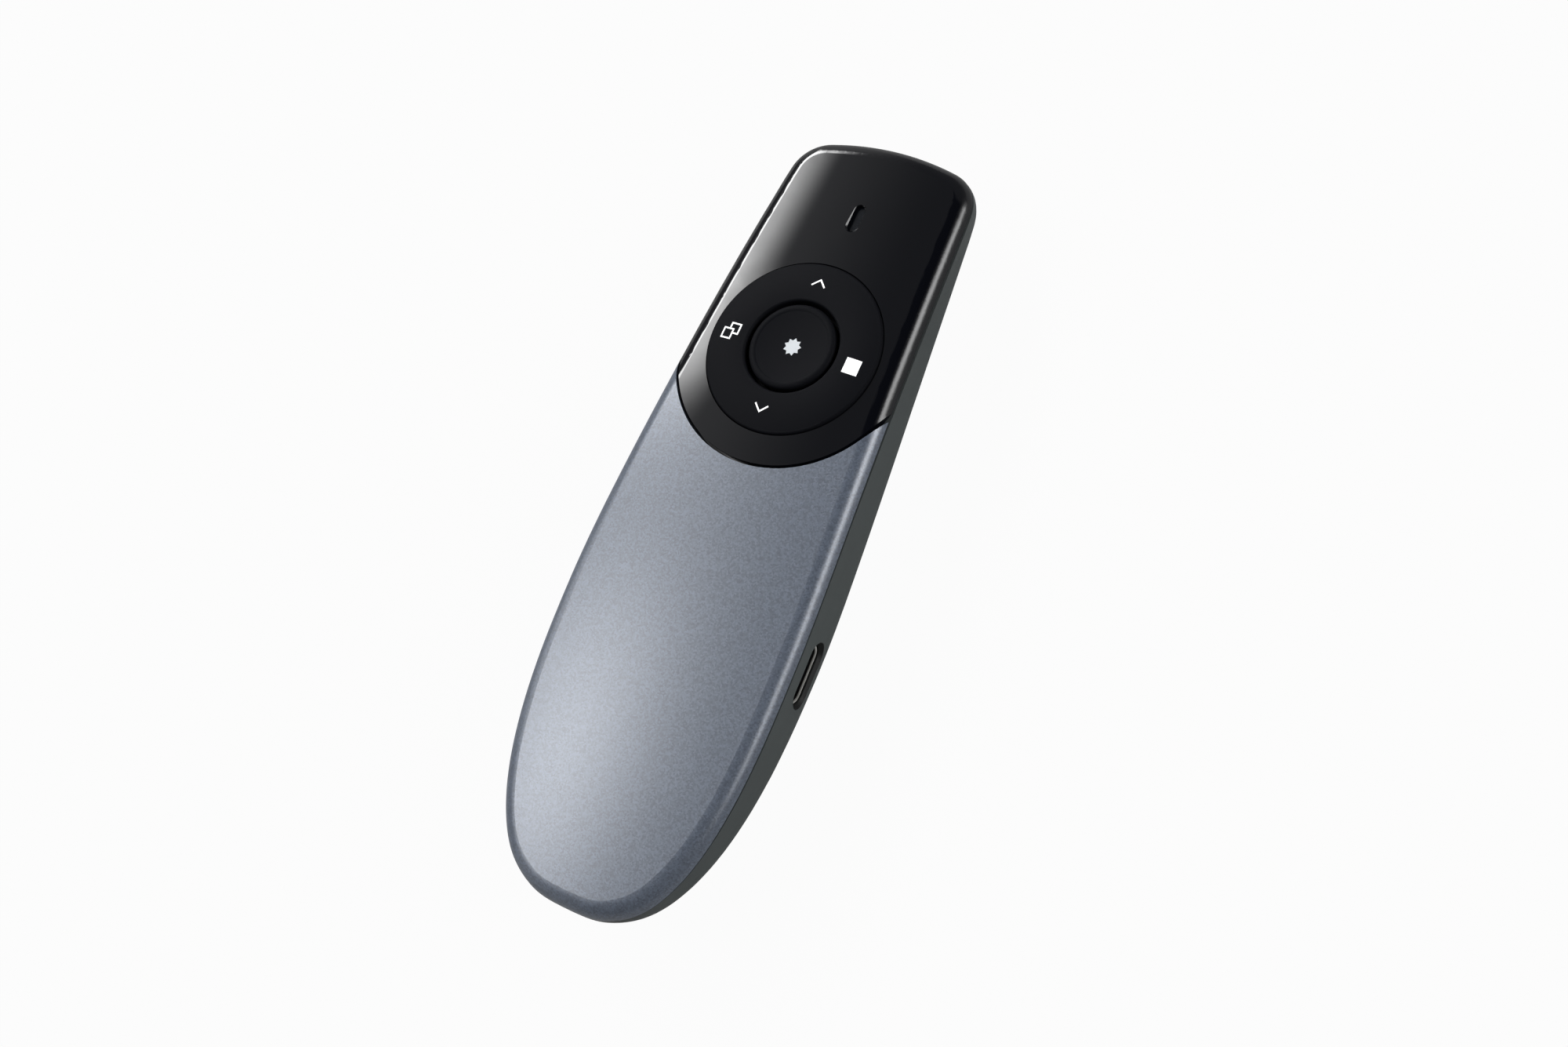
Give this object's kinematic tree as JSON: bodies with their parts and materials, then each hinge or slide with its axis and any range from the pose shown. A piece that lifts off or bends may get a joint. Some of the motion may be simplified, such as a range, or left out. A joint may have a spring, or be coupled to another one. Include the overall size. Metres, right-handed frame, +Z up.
{
  "type": "wireless presentation clicker",
  "caption": "Handheld wireless presentation clicker with a rocking direction ring around a round laser button, a charging socket, a power slide and a receiver parked in its tail.",
  "frame": {"origin": "middle of the flat underside, at the bottom centre of the bounding box", "axes": "+Y towards the laser end, +X towards the charging socket, +Z up out of the covers"},
  "size_m": [0.0407, 0.122, 0.0189],
  "materials": {
    "case_plastic": "dark grey, fine satin texture",
    "grip_paint": "metallic grey paint with a fine sparkle on plastic",
    "gloss_black": "polished black",
    "satin_black": "satin black",
    "inner_plastic": "moulded black",
    "circuit_board": "green solder mask",
    "chip_black": "moulded epoxy",
    "tin_plate": "bright tin plate",
    "steel": "plain steel",
    "spring_steel": "bright stainless foil",
    "brass": "turned brass",
    "contact_gold": "thin gold plating",
    "clear_lens": "polished clear",
    "smoked_light_pipe": "smoke tinted clear plastic",
    "led_white": "white package with a clear window",
    "battery_foil": "aluminium laminate pouch",
    "foam_tape": "foam adhesive tape",
    "lead_red": "insulated wire",
    "lead_black": "insulated wire",
    "plug_white": "nylon connector",
    "ribbon_amber": "polyimide flat cable",
    "magnet": "nickel plated magnet"
  },
  "bodies": {
    "housing": {"bottom_case": "case_plastic", "control_cover": "gloss_black", "grip_cover": "grip_paint", "button_guide": "inner_plastic", "snap_dome_center": "spring_steel", "snap_dome_up": "spring_steel", "snap_dome_down": "spring_steel", "snap_dome_left": "spring_steel", "snap_dome_right": "spring_steel", "led_light_pipe": "smoked_light_pipe", "indicator_led": "led_white", "main_board": "circuit_board", "radio_chip": "chip_black", "crystal_can": "tin_plate", "board_screws": "steel", "charge_board": "circuit_board", "charger_chip": "chip_black", "usb_c_shell": "tin_plate", "usb_c_tongue": "chip_black", "usb_c_contacts": "contact_gold", "power_switch_body": "inner_plastic", "battery": "battery_foil", "battery_pad": "foam_tape", "battery_lead_red": "lead_red", "battery_lead_black": "lead_black", "battery_plug": "plug_white", "board_ribbon": "ribbon_amber", "laser_barrel": "brass", "laser_diode": "brass", "laser_lens": "clear_lens", "laser_window": "clear_lens", "laser_bezel": "gloss_black", "bay_magnet": "magnet", "case_screws": "steel"},
    "cradle": {"rocker_cradle": "inner_plastic"},
    "ring": {"nav_ring": "satin_black"},
    "button": {"laser_button": "satin_black"},
    "power_slide": {"power_switch_knob": "gloss_black"},
    "receiver": {"receiver_cap": "gloss_black", "receiver_shell": "tin_plate", "receiver_tongue": "chip_black", "receiver_contacts": "contact_gold"}
  },
  "joints": [
    {"name": "ring_pitch", "type": "hinge", "parent": "housing", "child": "cradle", "pos_m": [0, 0.0255, 0.01402], "axis": [1, 0, 0], "range_deg": [-1.4, 1.4], "stiffness_Nm_per_rad": 0.5, "deforming": ["snap_dome_up", "snap_dome_down"]},
    {"name": "ring_roll", "type": "hinge", "parent": "cradle", "child": "ring", "pos_m": [0, 0.0255, 0.01402], "axis": [0, 0.9986, -0.0532], "range_deg": [-1.4, 1.4], "stiffness_Nm_per_rad": 0.5, "deforming": ["snap_dome_left", "snap_dome_right"]},
    {"name": "laser_press", "type": "slide", "parent": "housing", "child": "button", "axis": [0, -0.0532, -0.9986], "range_m": [0, 0.0004], "stiffness_N_per_m": 3000, "deforming": ["snap_dome_center"]},
    {"name": "power_switch", "type": "slide", "parent": "housing", "child": "power_slide", "axis": [0, 1, 0], "range_m": [0, 0.0022]},
    {"name": "receiver_pull", "type": "slide", "parent": "housing", "child": "receiver", "axis": [0, -1, 0], "range_m": [0, 0.016]}
  ]
}
